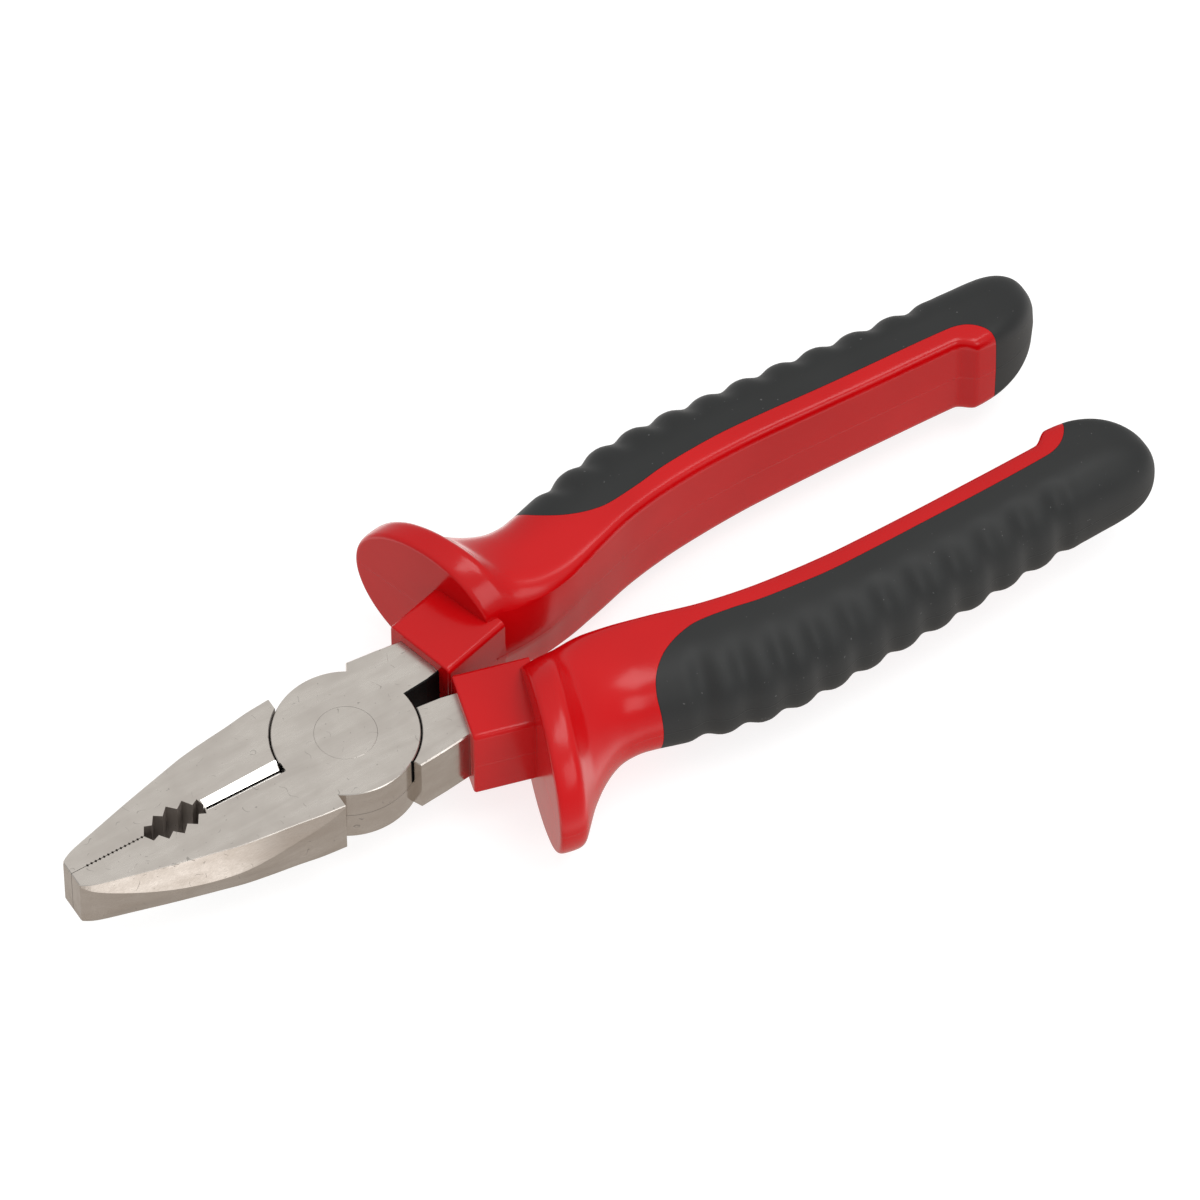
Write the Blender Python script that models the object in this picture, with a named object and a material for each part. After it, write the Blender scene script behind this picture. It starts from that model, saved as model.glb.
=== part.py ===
"""Combination pliers: two half-lapped steel levers on one rivet, each with a two-material grip.

Lengths in the tables are millimetres. X runs from the pivot towards the handles, Z is the pivot axis,
and the jaws close on the plane Y = 0. Lever A carries the -Y jaw, the upper half of the lap joint and
the +Y handle. Lever B is the same forging turned half a turn about X, and so is its grip.
"""

import math

import bmesh
import bpy
from mathutils import Vector

MM = 0.001

# Head
HEAD_THICKNESS = 12.2
NOSE_THICKNESS = 10.6
DISC_RADIUS = 12.5
TAPER_START_X = -13.0
NOSE_X = -52.7
SHOULDER_X = -7.5
# Half width of one jaw, by share of the way from the nose back to the shoulder.
JAW_SHARES = (
    (0.0, 2.8),
    (0.0288, 3.6),
    (0.0708, 4.3),
    (0.1704, 5.5),
    (0.3031, 7.1),
    (0.4004, 8.2),
    (0.5022, 9.3),
    (0.5973, 10.3),
    (0.7013, 11.0),
    (0.8119, 11.6),
    (0.9004, 12.2),
    (1.0, 12.6),
)
JAW_OUTLINE = tuple((NOSE_X + share * (SHOULDER_X - NOSE_X), width) for share, width in JAW_SHARES)
FLANK_BULGE = 0.9
FLANK_UPPER_DEPTH = 6.4
FLANK_LOWER_DEPTH = 3.6
FLANK_EDGE_DEPTH = 0.5
# Share of the bulge lost towards the shoulder.
FLANK_FADE = 0.5

# Jaw faces
NOSE_FLAT = 2.7
SERRATION_START_X = NOSE_X + NOSE_FLAT
SERRATION_END_X = -38.8
SERRATION_COUNT = 14
SERRATION_DEPTH = 0.38
# Valleys and tips of the pipe grip, as X and depth from the closing plane.
PIPE_GRIP = (
    (-37.85, 1.65),
    (-36.6, 1.15),
    (-35.5, 2.7),
    (-34.2, 1.75),
    (-32.8, 3.15),
    (-31.45, 1.7),
    (-30.0, 2.75),
    (-28.9, 1.05),
    (-27.75, 1.65),
)
CUTTER_START_X = -27.3
CUTTER_RUN_IN = 0.2
CUTTER_END_X = CUTTER_RUN_IN - DISC_RADIUS
# Each side of the cutter: a wide chamfer of this half opening and depth, then a steep bevel from the
# neck, which stands back this far from the jaw's flat, down to a narrow land.
CUTTER_MOUTH = 1.43
CUTTER_DEPTH = 1.45
CUTTER_NECK = 0.1
CUTTER_LAND = 0.2

# Rivet
RIVET_HEAD_RADIUS = 5.3
RIVET_SHANK_RADIUS = 4.0
RIVET_HEAD_DEPTH = 1.6
RIVET_SEGMENTS = 48

# Tang of one lever: X, near edge, far edge, thickness as a share of the head's.
TANG = (
    (2.0, 1.5, 8.0, 1.0),
    (6.5, 1.5, 10.6, 1.0),
    (7.3, 1.5, 12.2, 1.0),
    (12.4, 1.6, 11.75, 1.0),
    (17.0, 2.05, 11.2, 1.0),
    (22.0, 3.1, 11.3, 1.0),
    (31.0, 5.5, 12.8, 0.918),
    (42.0, 8.8, 15.4, 0.787),
    (55.0, 12.4, 18.6, 0.689),
    (70.0, 15.3, 21.1, 0.623),
    (90.0, 16.8, 22.2, 0.574),
    (115.0, 16.6, 21.6, 0.541),
    (132.0, 15.4, 20.2, 0.492),
)

# Collar of the grip, in a frame turned away from X.
COLLAR_ANGLE = 15.0
COLLAR_FRONT = 19.6
COLLAR_BACK = 33.0
COLLAR_INNER = -5.0
COLLAR_OUTER = 8.74
COLLAR_HALF_HEIGHT = 8.3
COLLAR_CORNER = 1.1
COLLAR_LIP = 0.45

# Cross sections of guard and handle. Columns: X and Y of the inner face, lean of the section from Y in
# degrees, full width, width of the inner part, half height, how much of that part's quarter curve is
# used, its exponent, and the outer part's exponent.
GRIP_SECTIONS = (
    (31.3, 3.10, 18, 30.9, 14.7, 15.0, 0.825, 2.0, 2.0),
    (31.4, 3.10, 18, 31.4, 14.7, 15.45, 0.825, 2.0, 2.0),
    (31.7, 3.10, 18, 31.8, 14.7, 15.8, 0.825, 2.0, 2.0),
    (32.3, 3.10, 18, 32.1, 14.7, 16.05, 0.825, 2.0, 2.0),
    (33.8, 3.15, 18, 32.4, 14.5, 16.3, 0.830, 2.0, 2.0),
    (35.4, 3.20, 18, 32.5, 14.2, 16.4, 0.845, 2.0, 2.0),
    (36.3, 3.22, 18, 32.2, 13.8, 16.05, 0.850, 2.0, 2.0),
    (37.0, 3.26, 18, 31.2, 13.1, 15.1, 0.849, 2.1, 2.0),
    (37.8, 3.32, 18, 29.8, 12.3, 14.0, 0.846, 2.25, 2.0),
    (39.3, 3.45, 18, 27.3, 11.0, 12.6, 0.850, 2.6, 2.0),
    (42.1, 3.85, 18, 23.6, 9.6, 11.4, 0.880, 3.4, 2.1),
    (45.2, 4.75, 18, 20.4, 8.4, 10.7, 0.916, 4.6, 2.2),
    (48.4, 5.75, 18, 18.9, 7.5, 10.4, 0.948, 6.0, 2.25),
    (51.3, 6.80, 18, 18.3, 6.9, 10.4, 0.968, 7.4, 2.3),
    (55.0, 8.05, 17, 18.1, 6.6, 10.6, 0.982, 8.5, 2.3),
    (62.0, 10.20, 14, 17.9, 6.3, 10.8, 0.984, 9.0, 2.3),
    (70.0, 11.70, 9, 17.8, 6.3, 10.8, 0.984, 9.0, 2.3),
    (78.0, 12.50, 4, 17.0, 6.3, 10.7, 0.984, 9.0, 2.3),
    (86.0, 12.85, 1, 16.15, 6.3, 10.45, 0.984, 9.0, 2.3),
    (92.0, 12.85, 0, 15.85, 6.3, 10.3, 0.984, 9.0, 2.3),
    (98.0, 12.75, 0, 15.6, 6.2, 10.1, 0.984, 9.0, 2.3),
    (106.0, 12.55, 0, 15.3, 6.2, 9.9, 0.984, 9.0, 2.3),
    (113.0, 12.35, 0, 14.9, 6.2, 9.8, 0.984, 9.0, 2.3),
    (120.0, 12.20, 0, 14.4, 6.2, 9.8, 0.984, 9.0, 2.3),
    (126.8, 12.00, 0, 14.0, 6.2, 9.8, 0.984, 9.0, 2.3),
)
# The heel that the inner face steps out to, and the rounded end.
HEEL_SECTIONS = (
    (127.6, 11.93, 0, 13.95, 6.25, 9.8, 0.984, 9.0, 2.3),
    (128.1, 11.75, 0, 14.1, 6.4, 9.8, 0.984, 9.0, 2.3),
    (128.8, 11.25, 0, 14.55, 6.8, 9.8, 0.984, 9.0, 2.3),
    (129.6, 10.55, 0, 15.2, 7.35, 9.8, 0.984, 9.0, 2.3),
    (130.3, 10.08, 0, 15.65, 7.75, 9.8, 0.984, 9.0, 2.3),
    (130.9, 9.92, 0, 15.8, 7.9, 9.8, 0.984, 8.6, 2.3),
    (134.0, 9.90, 0, 15.7, 7.8, 9.75, 0.982, 7.0, 2.3),
    (137.0, 10.15, 0, 15.4, 7.6, 9.5, 0.975, 5.2, 2.3),
    (139.6, 10.85, 0, 14.5, 7.2, 9.0, 0.965, 4.2, 2.3),
    (141.8, 12.00, 0, 12.85, 6.4, 8.2, 0.950, 3.6, 2.3),
    (143.6, 13.50, 0, 10.5, 5.3, 7.0, 0.935, 3.2, 2.3),
    (144.9, 15.10, 0, 7.8, 4.0, 5.5, 0.920, 2.9, 2.3),
    (145.7, 16.60, 0, 5.1, 2.6, 3.7, 0.910, 2.6, 2.3),
    (146.05, 17.70, 0, 2.9, 1.5, 2.1, 0.900, 2.4, 2.3),
    (146.15, 18.40, 0, 1.3, 0.65, 0.95, 0.900, 2.4, 2.3),
)

# Finger ribs on the outer side, valley to valley, placed by the X of the outermost line.
RIB_FIRST_X = 54.4
RIB_PITCH = 7.05
RIB_COUNT = 11
RIB_DEPTH = 0.8
RIB_FADE_FROM = 0.12
RIB_FADE_TO = 0.7
RIB_STEPS = 6

# Plan of the line where the soft skin meets the hard core, front to back.
SKIN_LINE = (
    (46.9, 24.2),
    (47.3, 21.7),
    (48.7, 19.2),
    (51.1, 17.0),
    (53.6, 15.6),
    (56.6, 14.6),
    (60.0, 14.2),
    (66.0, 14.9),
    (71.0, 15.8),
    (77.0, 16.4),
    (84.0, 16.8),
    (92.0, 16.7),
    (104.0, 16.3),
    (119.0, 15.9),
    (127.2, 15.55),
    (129.6, 15.2),
    (131.4, 14.4),
    (132.9, 13.0),
    (133.9, 11.2),
    (134.3, 8.8),
)
SKIN_THICKNESS = 2.4
# The core under the skin: where its sections stand, how far its inner side is drawn in, and its end.
CORE_STATIONS = (46.0, 50.0, 55.0, 62.0, 70.0, 78.0, 86.0, 98.0, 113.0, 127.0, 130.4, 132.5, 135.5)
CORE_INNER_INSET = 1.2
CORE_END_X = CORE_STATIONS[-1] + 1.1
POCKET_START_X = 14.0

# Fits
JAW_GAP = 0.3
LAP_GAP = 0.3
ARC_GAP = 0.3
PIVOT_CLEARANCE = 0.1
TANG_CLEARANCE = 0.3
SKIN_CLEARANCE = 0.3

# Where cutters run past the faces they open.
PAST = 3.0

PART_NAME = "combination_pliers"
STEEL = ("steel", (0.58, 0.56, 0.53), 1.0, 0.3)
RIVET_STEEL = ("rivet_steel", (0.56, 0.54, 0.51), 1.0, 0.3)
HARD_RED = ("hard_red", (0.62, 0.02, 0.025), 0.0, 0.25)
SOFT_BLACK = ("soft_black", (0.045, 0.05, 0.048), 0.0, 0.6)


def clear_scene():
    for obj in list(bpy.data.objects):
        bpy.data.objects.remove(obj, do_unlink=True)


def new_collection(name):
    collection = bpy.data.collections.new(name)
    bpy.context.scene.collection.children.link(collection)
    return collection


def new_material(name, colour, metallic, roughness):
    material = bpy.data.materials.new(name)
    material.use_nodes = True
    shader = material.node_tree.nodes["Principled BSDF"]
    shader.inputs["Base Color"].default_value = (*colour, 1.0)
    shader.inputs["Metallic"].default_value = metallic
    shader.inputs["Roughness"].default_value = roughness
    material.diffuse_color = (*colour, 1.0)
    return material


def placed(point, turn):
    """A table point in the part's frame: turn is 1 for lever A, -1 for lever B."""
    x, y, z = point
    return Vector((x, turn * y, turn * z + HEAD_THICKNESS / 2)) * MM


def loft(name, rings, turn, collection):
    """A closed solid through rings that hold the same number of points."""
    mesh = bpy.data.meshes.new(name)
    shape = bmesh.new()
    rows = []
    for ring in rings:
        rows.append([shape.verts.new(placed(point, turn)) for point in ring])
    count = len(rows[0])
    for row, following in zip(rows, rows[1:]):
        for i in range(count):
            j = (i + 1) % count
            shape.faces.new((row[i], row[j], following[j], following[i]))
    shape.faces.new(list(reversed(rows[0])))
    shape.faces.new(rows[-1])
    bmesh.ops.recalc_face_normals(shape, faces=shape.faces)
    shape.to_mesh(mesh)
    shape.free()
    obj = bpy.data.objects.new(name, mesh)
    collection.objects.link(obj)
    return obj


def plate(name, outline, low, high, turn, collection):
    """A plan outline made solid between two heights."""
    rings = [[(x, y, z) for x, y in outline] for z in (low, high)]
    return loft(name, rings, turn, collection)


def turned(name, profile, segments, turn, collection):
    """A solid of revolution about the pivot axis through (radius, height) pairs."""
    rings = []
    for radius, z in profile:
        ring = []
        for i in range(segments):
            angle = 2 * math.pi * i / segments
            ring.append((radius * math.cos(angle), radius * math.sin(angle), z))
        rings.append(ring)
    return loft(name, rings, turn, collection)


def boolean(obj, other, operation):
    modifier = obj.modifiers.new(f"{operation.lower()}_{other.name}", "BOOLEAN")
    modifier.operation = operation
    modifier.solver = "EXACT"
    modifier.object = other


def as_cutter(obj):
    obj.hide_render = True
    obj.display_type = "WIRE"
    return obj


def smooth(table, x):
    """Every column of the table at x, by cubic interpolation between its rows."""
    last = len(table) - 1
    if x <= table[0][0]:
        return (x, *table[0][1:])
    if x >= table[last][0]:
        return (x, *table[last][1:])
    i = max(j for j in range(last) if table[j][0] <= x)
    x0, x1 = table[i][0], table[i + 1][0]
    t = (x - x0) / (x1 - x0)
    values = []
    for column in range(1, len(table[0])):
        ends = []
        for j in (i, i + 1):
            before, after = max(j - 1, 0), min(j + 1, last)
            rise = table[after][column] - table[before][column]
            ends.append(rise / (table[after][0] - table[before][0]) * (x1 - x0))
        a, b = table[i][column], table[i + 1][column]
        near = (1 + 2 * t) * (1 - t) ** 2 * a + t * (1 - t) ** 2 * ends[0]
        far = t * t * (3 - 2 * t) * b + t * t * (t - 1) * ends[1]
        values.append(near + far)
    return (x, *values)


def ramp(value, low, high):
    t = min(max((value - low) / (high - low), 0.0), 1.0)
    return t * t * (3 - 2 * t)


def half_thickness(x):
    share = min(max((TAPER_START_X - x) / (TAPER_START_X - NOSE_X), 0.0), 1.0)
    return (HEAD_THICKNESS + share * (NOSE_THICKNESS - HEAD_THICKNESS)) / 2


def jaw_rings():
    """Sections of the -Y jaw. Its flank is ground to two shallow bevels that meet at a crest."""
    stations = sorted(JAW_OUTLINE + ((TAPER_START_X, smooth(JAW_OUTLINE, TAPER_START_X)[1]),))
    rings = []
    for x, half_width in stations:
        along = (x - NOSE_X) / (SHOULDER_X - NOSE_X)
        swell = math.sin(math.pi * along) ** 0.8 if 0 < along < 1 else 0.0
        z = half_thickness(x)
        crest = half_width + 0.02 + FLANK_BULGE * swell * (1 - FLANK_FADE * ramp(along, 0.45, 0.85))
        upper = z - FLANK_EDGE_DEPTH - FLANK_UPPER_DEPTH * swell
        lower = -z + FLANK_EDGE_DEPTH + FLANK_LOWER_DEPTH * swell
        rings.append(
            [
                (x, 1.0, z),
                (x, -half_width, z),
                (x, -crest, upper),
                (x, -crest, lower),
                (x, -half_width, -z),
                (x, 1.0, -z),
            ]
        )
    return rings


def jaw_face_outline():
    """Plan of what is cut away on the closing side of the -Y jaw: teeth, pipe grip and flats."""
    flat = -JAW_GAP / 2
    outline = [(NOSE_X - PAST, PAST), (NOSE_X - PAST, flat)]
    pitch = (SERRATION_END_X - SERRATION_START_X) / SERRATION_COUNT
    for i in range(SERRATION_COUNT):
        start = SERRATION_START_X + i * pitch
        outline.append((start, flat))
        outline.append((start + pitch / 2, flat - SERRATION_DEPTH))
    outline.append((SERRATION_END_X, flat))
    for x, depth in PIPE_GRIP:
        outline.append((x, -depth))
    outline.append((CUTTER_START_X, flat))
    outline.append((SHOULDER_X + PAST, flat))
    outline.append((SHOULDER_X + PAST, PAST))
    return outline


def cutter_rings(side):
    """What is ground off one side of the wire cutter, above or below the middle plane."""
    top = HEAD_THICKNESS / 2
    reach = top + PAST
    neck = JAW_GAP / 2 + CUTTER_NECK
    mouth = CUTTER_MOUTH + PAST * (CUTTER_MOUTH - neck) / CUTTER_DEPTH
    corners = (
        (0.6, CUTTER_LAND),
        (-JAW_GAP / 2, CUTTER_LAND),
        (-neck, top - CUTTER_DEPTH),
        (-mouth, reach),
        (0.6, reach),
    )
    rings = []
    for x in (CUTTER_START_X, CUTTER_END_X):
        rings.append([(x, y, side * z) for y, z in corners])
    return rings


def tang_rings(grow, start, end):
    """Rectangular sections of the tang, grown on every side by the clearance of a pocket."""
    stations = [row for row in TANG if start < row[0] < end]
    rings = []
    for x, near, far, high in [smooth(TANG, start), *stations, smooth(TANG, end)]:
        near, far, high = near - grow, far + grow, high * HEAD_THICKNESS / 2 + grow
        rings.append([(x, near, -high), (x, far, -high), (x, far, high), (x, near, high)])
    return rings


def build_lever(name, turn, parts, cutters):
    top = HEAD_THICKNESS / 2
    jaw = loft(f"{name}_jaw", jaw_rings(), turn, parts)
    face = plate(f"{name}_jaw_face", jaw_face_outline(), -top - PAST, top + PAST, turn, cutters)
    boolean(jaw, as_cutter(face), "DIFFERENCE")

    disc_profile = ((DISC_RADIUS, -top), (DISC_RADIUS, top))
    disc = turned(f"{name}_disc", disc_profile, 96, turn, cutters)
    boolean(jaw, as_cutter(disc), "UNION")
    tang = loft(f"{name}_tang", tang_rings(0.0, TANG[0][0], TANG[-1][0]), turn, cutters)
    boolean(jaw, as_cutter(tang), "UNION")

    lap_profile = (
        (DISC_RADIUS + ARC_GAP, -top - PAST),
        (DISC_RADIUS + ARC_GAP, LAP_GAP / 2),
    )
    lap = turned(f"{name}_lap", lap_profile, 96, turn, cutters)
    boolean(jaw, as_cutter(lap), "DIFFERENCE")
    for side, label in ((1, "upper"), (-1, "lower")):
        wedge = loft(f"{name}_cutter_{label}", cutter_rings(side), turn, cutters)
        boolean(jaw, as_cutter(wedge), "DIFFERENCE")

    bore = turned(f"{name}_bore", rivet_profile(PIVOT_CLEARANCE, PAST), RIVET_SEGMENTS, turn, cutters)
    boolean(jaw, as_cutter(bore), "DIFFERENCE")
    jaw.name = name
    return jaw


def rivet_profile(grow, past):
    """Countersunk at both faces of the head, where it is ground flush."""
    top = HEAD_THICKNESS / 2
    head, shank = RIVET_HEAD_RADIUS + grow, RIVET_SHANK_RADIUS + grow
    neck = top - RIVET_HEAD_DEPTH
    profile = [(head, -top), (shank, -neck), (shank, neck), (head, top)]
    if past:
        profile = [(head, -top - past), *profile, (head, top + past)]
    return profile


def section_outline(width, inner, high, used, power, outer_power):
    """(lateral, z) pairs round one section. The inner face is flat, and the outer side is a full curve."""
    outer = width - inner
    flat = high * (1 - used**power) ** (1 / power)
    upper = []
    for share in (1.0, 0.965, 0.9, 0.78, 0.5):
        z = high * (1 - (used * share) ** power) ** (1 / power)
        upper.append((inner * (1 - share), z))
    points = [(0.0, -flat / 3), (0.0, flat / 3), *upper]
    steps = 14
    for i in range(steps + 1):
        angle = math.pi * (0.5 - i / steps)
        c, s = math.cos(angle), math.sin(angle)
        y = inner + outer * abs(c) ** (2 / outer_power)
        z = math.copysign(high * abs(s) ** (2 / outer_power), s)
        points.append((y, z))
    points.extend((y, -z) for y, z in reversed(upper))
    return points


def rib_depth(x):
    """How far the ribbed side is drawn in at this X: valleys every pitch, fading in and out at the ends."""
    along = (x - RIB_FIRST_X) / RIB_PITCH
    if not -0.5 < along < RIB_COUNT - 0.5:
        return 0.0
    wave = 0.5 + 0.5 * math.cos(2 * math.pi * along)
    return RIB_DEPTH * wave**1.3


def grip_ring(row, inset, inner_inset, ribs):
    """One section of the grip in space, drawn in by an inset for the core under the skin."""
    x, y, lean, width, inner, high, used, power, outer_power = row
    lean = math.radians(lean)
    across = (-math.sin(lean), math.cos(lean))
    outline = section_outline(
        width - inset - inner_inset, inner - inner_inset, high - inset, used, power, outer_power
    )
    outer = width - inner
    draw = rib_depth(x + across[0] * width) if ribs else 0.0
    ring = []
    for lateral, z in outline:
        share = (lateral + inner_inset - inner) / outer
        pull = draw * ramp(share, RIB_FADE_FROM, RIB_FADE_TO)
        lateral += inner_inset
        shrink = 1 - pull / max(math.hypot(lateral - inner, z), 1.0)
        if pull:
            lateral = inner + (lateral - inner) * shrink
            z *= shrink
        ring.append((x + across[0] * lateral, y + across[1] * lateral, z))
    return ring


def handle_sections(ribbed):
    """Rows of both section tables, with the steps that the ribs need put in between."""
    rows = list(GRIP_SECTIONS)
    if ribbed:
        first, last = 52.0, GRIP_SECTIONS[-1][0]
        rows = [row for row in rows if row[0] < first]
        count = math.ceil((last - first) / (RIB_PITCH / RIB_STEPS))
        for i in range(count + 1):
            rows.append(smooth(GRIP_SECTIONS, first + (last - first) * i / count))
    rows.extend(HEEL_SECTIONS)
    return rows


def core_sections(grow):
    """Sections of the core under the skin, drawn in by the skin less what a void grows by."""
    table = GRIP_SECTIONS + HEEL_SECTIONS
    inset = SKIN_THICKNESS + SKIN_CLEARANCE - grow
    rings = []
    shallow = CORE_INNER_INSET - grow
    for x in CORE_STATIONS:
        inner_inset = shallow + (inset - shallow) * ramp(x, 127.0, 132.5)
        rings.append(grip_ring(smooth(table, x), inset, inner_inset, False))
    end = list(smooth(table, CORE_STATIONS[-1]))
    end[0] = CORE_END_X + grow
    rings.append(grip_ring(end, inset + 0.6, inset + 0.6, False))
    return rings


def skin_outline(grow):
    """Plan of the skin's side of the line where it meets the core, moved towards the core by grow."""
    line = []
    last = len(SKIN_LINE) - 1
    for i, (x, y) in enumerate(SKIN_LINE):
        (x0, y0), (x1, y1) = SKIN_LINE[max(i - 1, 0)], SKIN_LINE[min(i + 1, last)]
        length = math.hypot(x1 - x0, y1 - y0)
        line.append((x + grow * (y1 - y0) / length, y - grow * (x1 - x0) / length))
    front, back = line[0], line[-1]
    far_x, far_y = 160.0, 42.0
    return [(front[0], far_y), *line, (back[0], -PAST), (far_x, -PAST), (far_x, far_y)]


def collar_rings():
    """The square sleeve round the tang in front of the guard, with a rounded front lip."""
    lean = math.radians(COLLAR_ANGLE)
    along, across = (math.cos(lean), math.sin(lean)), (-math.sin(lean), math.cos(lean))
    stations = (
        (COLLAR_FRONT, COLLAR_LIP),
        (COLLAR_FRONT + 0.15 * COLLAR_LIP, 0.45 * COLLAR_LIP),
        (COLLAR_FRONT + COLLAR_LIP, 0.0),
        (COLLAR_BACK, 0.0),
    )
    corners = (
        (COLLAR_OUTER, COLLAR_HALF_HEIGHT, 0),
        (COLLAR_INNER, COLLAR_HALF_HEIGHT, 90),
        (COLLAR_INNER, -COLLAR_HALF_HEIGHT, 180),
        (COLLAR_OUTER, -COLLAR_HALF_HEIGHT, 270),
    )
    rings = []
    for distance, shrink in stations:
        ring = []
        for side, z, start in corners:
            centre_side = side - math.copysign(COLLAR_CORNER, side)
            centre_z = z - math.copysign(COLLAR_CORNER, z)
            for step in range(4):
                angle = math.radians(start + 30 * step)
                radius = COLLAR_CORNER - shrink
                lateral = centre_side + radius * math.cos(angle)
                height = centre_z + radius * math.sin(angle)
                x = along[0] * distance + across[0] * lateral
                y = along[1] * distance + across[1] * lateral
                ring.append((x, y, height))
        rings.append(ring)
    return rings


def build_core(name, turn, parts, cutters):
    rings = [grip_ring(row, 0.0, 0.0, False) for row in handle_sections(False)]
    core = loft(name, rings, turn, parts)
    collar = loft(f"{name}_collar", collar_rings(), turn, cutters)
    boolean(core, as_cutter(collar), "UNION")
    outline = skin_outline(SKIN_CLEARANCE)
    recess = plate(f"{name}_recess", outline, -30.0, 30.0, turn, cutters)
    boolean(core, as_cutter(recess), "DIFFERENCE")
    spine = loft(f"{name}_spine", core_sections(0.0), turn, cutters)
    boolean(core, as_cutter(spine), "UNION")
    end = TANG[-1][0] + TANG_CLEARANCE
    pocket = loft(f"{name}_pocket", tang_rings(TANG_CLEARANCE, POCKET_START_X, end), turn, cutters)
    boolean(core, as_cutter(pocket), "DIFFERENCE")
    return core


def build_skin(name, turn, parts, cutters):
    rings = [grip_ring(row, 0.0, 0.0, True) for row in handle_sections(True)]
    skin = loft(name, rings, turn, parts)
    field = plate(f"{name}_field", skin_outline(0.0), -30.0, 30.0, turn, cutters)
    boolean(skin, as_cutter(field), "INTERSECT")
    void = loft(f"{name}_void", core_sections(SKIN_CLEARANCE), turn, cutters)
    boolean(skin, as_cutter(void), "DIFFERENCE")
    return skin


def dress(obj, material):
    obj.data.materials.clear()
    obj.data.materials.append(material)


def main():
    clear_scene()
    parts = new_collection(PART_NAME)
    cutters = new_collection("cutters")
    for letter, turn in (("a", 1), ("b", -1)):
        lever = build_lever(f"lever_{letter}", turn, parts, cutters)
        dress(lever, new_material(f"{STEEL[0]}_{letter}", *STEEL[1:]))
        core = build_core(f"grip_core_{letter}", turn, parts, cutters)
        dress(core, new_material(f"{HARD_RED[0]}_{letter}", *HARD_RED[1:]))
        skin = build_skin(f"grip_skin_{letter}", turn, parts, cutters)
        dress(skin, new_material(f"{SOFT_BLACK[0]}_{letter}", *SOFT_BLACK[1:]))
    rivet = turned("pivot_rivet", rivet_profile(0.0, 0.0), RIVET_SEGMENTS, 1, parts)
    dress(rivet, new_material(*RIVET_STEEL))


main()
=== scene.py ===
"""Combination pliers, closed, on a flat white floor: ground steel levers, red and black grips.

Lengths in the tables are millimetres about the pivot axis, with the joint's middle plane at height 0.
X runs from the pivot towards the handles. Side 1 is lever A, side -1 is lever B, turned half a turn
about X.
"""

import math

import bmesh
import bpy
import numpy as np
from mathutils import Matrix, Vector


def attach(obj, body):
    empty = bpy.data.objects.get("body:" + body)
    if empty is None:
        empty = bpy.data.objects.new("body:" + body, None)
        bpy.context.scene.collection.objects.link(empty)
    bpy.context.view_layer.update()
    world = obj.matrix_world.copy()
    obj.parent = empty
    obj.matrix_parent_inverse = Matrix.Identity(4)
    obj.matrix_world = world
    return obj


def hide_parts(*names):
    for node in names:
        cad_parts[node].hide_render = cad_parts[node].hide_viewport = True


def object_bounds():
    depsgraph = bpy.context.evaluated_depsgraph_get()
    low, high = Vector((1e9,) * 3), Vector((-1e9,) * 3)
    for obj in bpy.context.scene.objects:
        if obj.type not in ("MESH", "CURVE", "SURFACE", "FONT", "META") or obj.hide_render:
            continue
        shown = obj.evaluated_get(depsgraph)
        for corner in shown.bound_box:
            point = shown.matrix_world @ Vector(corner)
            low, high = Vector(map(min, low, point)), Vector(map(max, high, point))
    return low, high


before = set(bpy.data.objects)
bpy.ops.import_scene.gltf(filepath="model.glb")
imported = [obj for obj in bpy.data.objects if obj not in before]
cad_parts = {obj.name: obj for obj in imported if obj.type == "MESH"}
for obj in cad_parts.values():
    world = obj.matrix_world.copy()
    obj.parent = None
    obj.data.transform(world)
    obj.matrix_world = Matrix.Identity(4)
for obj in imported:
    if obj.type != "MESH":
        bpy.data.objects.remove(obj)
CAD_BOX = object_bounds()

MM = 0.001

# Head
HEAD_THICKNESS = 12.2
TOP = HEAD_THICKNESS / 2
NOSE_THICKNESS = 10.6
DISC_RADIUS = 12.5
TAPER_START_X = -13.0
NOSE_X = -52.7
SHOULDER_X = -7.5
JAW_SHARES = (
    (0.0, 2.8),
    (0.0288, 3.6),
    (0.0708, 4.3),
    (0.1704, 5.5),
    (0.3031, 7.1),
    (0.4004, 8.2),
    (0.5022, 9.3),
    (0.5973, 10.3),
    (0.7013, 11.0),
    (0.8119, 11.6),
    (0.9004, 12.2),
    (1.0, 12.6),
)
JAW_OUTLINE = tuple((NOSE_X + share * (SHOULDER_X - NOSE_X), width) for share, width in JAW_SHARES)
JAW_STATIONS = 60
FLANK_BULGE = 0.9
FLANK_STEP = 0.02
FLANK_UPPER_DEPTH = 6.4
FLANK_LOWER_DEPTH = 3.6
FLANK_EDGE_DEPTH = 0.5
# Share of the bulge lost towards the shoulder, and the shares of the jaw's length between which it goes.
FLANK_FADE = 0.5
FLANK_FADE_FROM = 0.45
FLANK_FADE_TO = 0.85
EDGE_BREAK = 0.14

NOSE_FLAT = 2.7
SERRATION_START_X = NOSE_X + NOSE_FLAT
SERRATION_END_X = -38.8
SERRATION_COUNT = 14
SERRATION_DEPTH = 0.24
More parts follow.
